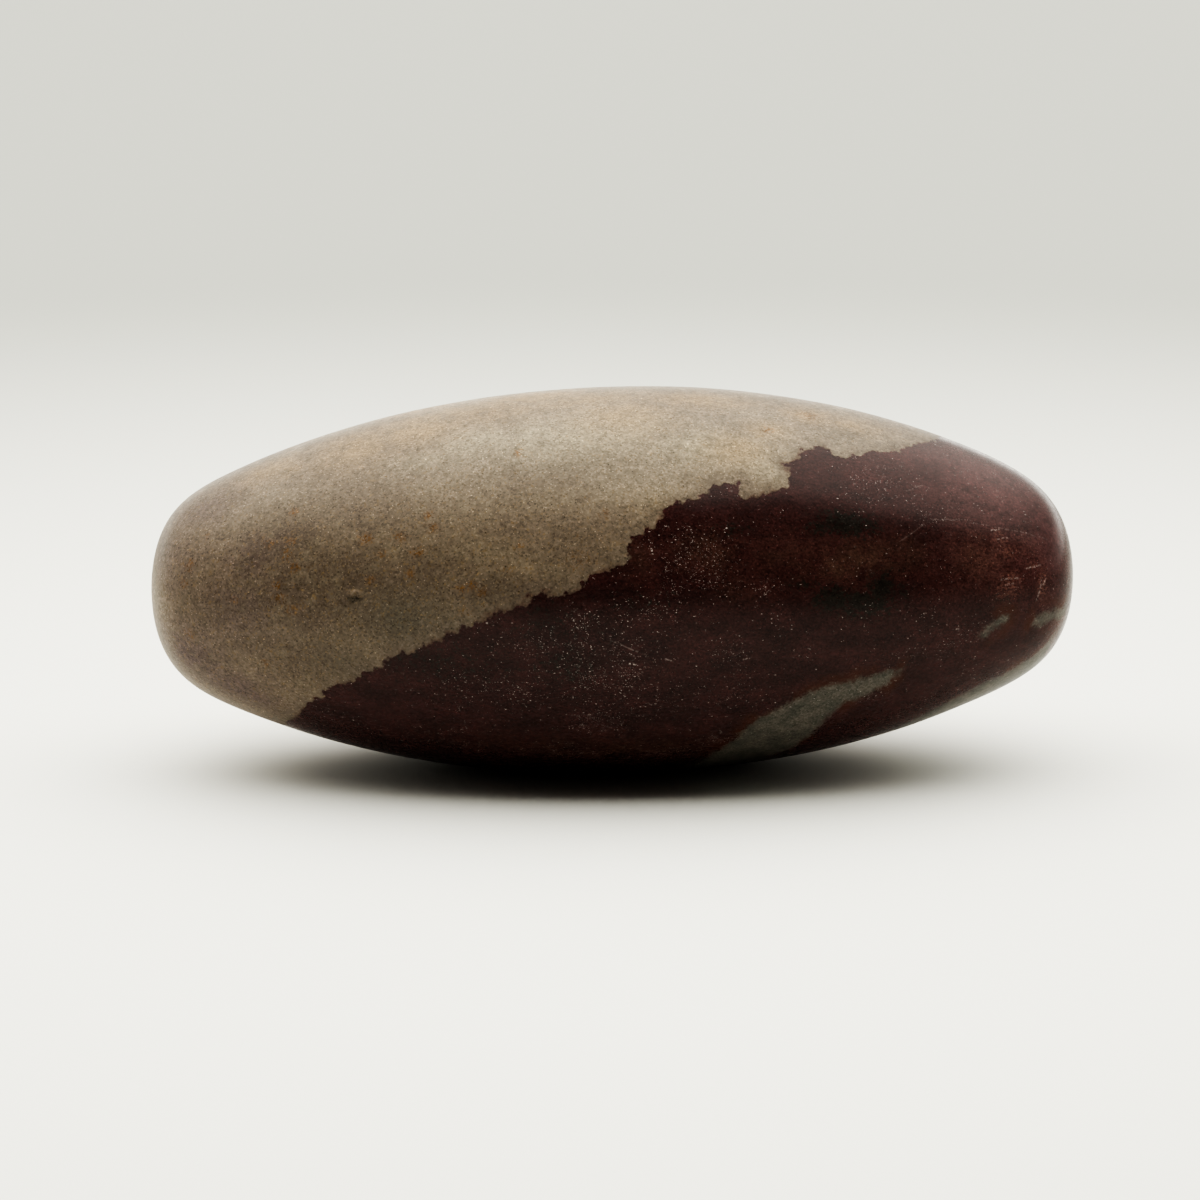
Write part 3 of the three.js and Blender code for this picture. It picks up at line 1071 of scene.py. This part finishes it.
# The red half's colour before its lenses, and the shade of its grains.
def redColour(tree, fields):
    layers = rangeNode(tree, fields["layers"], *redStone["midLayers"])
    red = mixColour(tree, layers, redStone["deep"], redStone["mid"])
    purple = rangeNode(tree, fields["fineLayers"], *redStone["purpleLayers"])
    red = mixColour(tree, purple, red, redStone["purple"])
    unevenness = rangeNode(tree, fields["mottle"], *redStone["blotchNoise"])
    # The rosy patches partly paint sheen on the red end's upper part, and the umber ones partly paint
    # light on the shaded belly.
    for name in ("rosyAndPaintedSheen", "umberAndPaintedLight"):
        amount = times(tree, attributeNode(tree, name), unevenness)
        red = mixColour(tree, amount, red, redStone[name])

    soot = attributeNode(tree, "soot")
    for name in ("clumps", "flecks"):
        soot = mathNode(tree, "MULTIPLY_ADD", fields[name], redStone["sootRaggedness"], soot)
    red = mixColour(tree, rangeNode(tree, soot, *redStone["sootShows"]), red, redStone["soot"])
    scuffs = rangeNode(tree, fields["scuffs"], *redStone["salmonScuffs"])
    scuffs = times(tree, scuffs, attributeNode(tree, "salmon"))
    red = mixColour(tree, scuffs, red, redStone["salmon"])

    fleckShade = rangeNode(tree, fields["flecks"], *redStone["fleckShade"])
    shade = times(tree, fields["grains"]["Shade"], fleckShade)
    return mixColour(tree, 1.0, red, shade, "MULTIPLY"), shade


# Grey-green lenses in the red, with a rusty rim.
lensStone = {
    "pale": (0.110, 0.097, 0.082, 1),
    "deep": (0.070, 0.067, 0.056, 1),
    "rim": (0.075, 0.024, 0.013, 1),
    "paleNoise": (0.35, 0.65),
    "rimReach": (-1.8, -0.1, 0.0, 0.6),  # millimetres outside a lens
    "roughness": 0.34,
}


def addLenses(tree, fields, red, shade, lensEdge, inLens):
    pale = rangeNode(tree, fields["mottle"], *lensStone["paleNoise"])
    lens = mixColour(tree, pale, lensStone["deep"], lensStone["pale"])
    lens = mixColour(tree, 1.0, lens, shade, "MULTIPLY")
    rim = rangeNode(tree, lensEdge, *lensStone["rimReach"])
    rim = times(tree, rim, fields["rimPatches"])
    red = mixColour(tree, rim, red, lensStone["rim"])
    return mixColour(tree, inLens, red, lens)


# Pale specks and fine scratches in the red, in millimetres.
paleMarks = {
    "clusters": (0.40, 0.56, 0.25, 1.25),
    "dust": (0.42, 0.7, 0.02, 0.12),  # a few specks lie outside the clusters
    "warp": 0.5,  # bends the specks out of round
    "fineSpecks": {"Spacing": 0.135, "Radius": 0.063},
    "loneSpecks": {"Spacing": 0.8, "Radius": 0.10, "Amount": 0.08},
    "scratchGaps": (0.42, 0.58),
    "scratchWander": 0.4,
    # two pixel ends, width and strength of each scratch
    "scratches": [
        ((609, 640), (649, 656), 0.11, 0.22),
        ((628, 663), (637, 665), 0.13, 0.8),
        ((664, 659), (673, 661), 0.11, 0.4),
        ((651, 546), (653, 556), 0.13, 0.7),
        ((925, 519), (978, 520), 0.10, 0.13),
        ((965, 519), (1056, 541), 0.10, 0.13),
        ((990, 531), (1001, 529), 0.13, 0.5),
        ((1024, 569), (1044, 564), 0.12, 0.35),
        ((1042, 574), (1040, 592), 0.12, 0.3),
        ((995, 540), (1010, 537), 0.12, 0.25),
        ((904, 492), (926, 484), 0.12, 0.15),
        ((895, 545), (930, 520), 0.12, 0.09),
        ((742, 660), (752, 657), 0.12, 0.35),
        ((999, 580), (1021, 578), 0.17, 0.3),
        ((1004, 585), (1015, 583), 0.14, 0.2),
        ((1036, 602), (1041, 587), 0.12, 0.3),
        ((1043, 586), (1046, 577), 0.14, 0.35),
        ((952, 630), (960, 629), 0.14, 0.4),
    ],
}


def addScratch(tree, where, startPixel, endPixel, width, strength):
    start = onStone(*startPixel) / mm
    end = onStone(*endPixel) / mm
    middle = onStone(*((np.array(startPixel) + endPixel) / 2)) / mm
    outward = middle - np.array((middle[0], 0, stoneForm["height"] / 2))
    across = np.cross(end - start, outward)
    return useGroup(tree, fineScratch, {
        "Place": where, "Middle": tuple(middle), "Across": tuple(across / np.linalg.norm(across)),
        "Half Length": float(np.linalg.norm(end - start) / 2), "Width": width, "Strength": strength,
    })["Mask"]


def paleMarkMask(tree, fields, settings):
    clusters = rangeNode(tree, fields["clumps"], *settings["clusters"])
    clusters = times(tree, attributeNode(tree, "specks"), clusters)
    dust = rangeNode(tree, fields["dust"], *settings["dust"])
    amount = mathNode(tree, "MAXIMUM", clusters, dust)
    warp = addNode(tree, "ShaderNodeCombineXYZ", {"X": fields["flecks"], "Z": fields["clumps"]})
    warp = vectorMath(tree, "SCALE", warp.outputs["Vector"], scale=settings["warp"])
    warped = vectorMath(tree, "ADD", fields["where"], warp)
    fine = useGroup(
        tree, scatteredSpecks, {"Place": warped, "Amount": amount, **settings["fineSpecks"]})
    lone = useGroup(tree, scatteredSpecks, {"Place": warped, **settings["loneSpecks"]})
    marks = mathNode(tree, "MAXIMUM", fine["Mask"], lone["Mask"])

    gaps = rangeNode(tree, fields["flecks"], *settings["scratchGaps"])
    wander = times(tree, fields["teeth"], settings["scratchWander"])
    wander = addNode(tree, "ShaderNodeCombineXYZ", {"Z": wander}).outputs["Vector"]
    bent = vectorMath(tree, "ADD", fields["where"], wander)
    for scratch in settings["scratches"]:
        mask = times(tree, addScratch(tree, bent, *scratch), gaps)
        marks = mathNode(tree, "MAXIMUM", marks, mask)
    return marks


stoneFinish = {
    "markRoughness": 0.3,  # added where a speck or scratch is
    "smears": (0.3, 0.7, -0.04, 0.05),  # the roughness varies along the layers
    "dullness": -0.85,  # how much of the gloss the dull patches lose
    "tanGrainRise": 0.030,  # millimetres
    "redGrainRise": 0.004,
}


def makeStoneMaterial(finish):
    material = bpy.data.materials.new("rubbedStone")
    material.use_nodes = True
    tree = material.node_tree
    shader = tree.nodes["Principled BSDF"]
    fields = stoneFields(tree, noiseSettings)
    edgeDepth, inRed = frayedDepth(tree, fields, fraySettings["red"])
    lensEdge, inLens = frayedDepth(tree, fields, fraySettings["lens"])

    tan, flakeRise = tanColour(tree, fields, edgeDepth)
    red, redShade = redColour(tree, fields)
    red = addLenses(tree, fields, red, redShade, lensEdge, inLens)
    marks = paleMarkMask(tree, fields, paleMarks)
    red = mixColour(tree, marks, red, redStone["speck"])
    tree.links.new(mixColour(tree, inRed, tan, red), shader.inputs["Base Color"])

    redRoughness = mixValue(tree, inLens, redStone["roughness"], lensStone["roughness"])
    redRoughness = mathNode(tree, "MULTIPLY_ADD", marks, finish["markRoughness"], redRoughness)
    roughness = mixValue(tree, inRed, tanStone["roughness"], redRoughness)
    smears = rangeNode(tree, fields["fineLayers"], *finish["smears"])
    tree.links.new(mathNode(tree, "ADD", roughness, smears), shader.inputs["Roughness"])

    gloss = mixValue(tree, inRed, tanStone["specular"], redStone["specular"])
    polish = mathNode(tree, "MULTIPLY_ADD", attributeNode(tree, "dull"), finish["dullness"], 1.0)
    tree.links.new(times(tree, gloss, polish), shader.inputs["Specular IOR Level"])

    grainRise = mixValue(tree, inRed, finish["tanGrainRise"], finish["redGrainRise"])
    height = times(tree, fields["flecks"], grainRise)
    height = mathNode(tree, "MULTIPLY_ADD", flakeRise, flakeFinish["rise"], height)
    bump = addNode(tree, "ShaderNodeBump", {"Strength": 1.0, "Distance": mm, "Height": height})
    tree.links.new(bump.outputs["Normal"], shader.inputs["Normal"])
    return material


pebble.data.materials.append(makeStoneMaterial(stoneFinish))
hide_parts("pebble")
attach(pebble, "root")
print("stone finished")
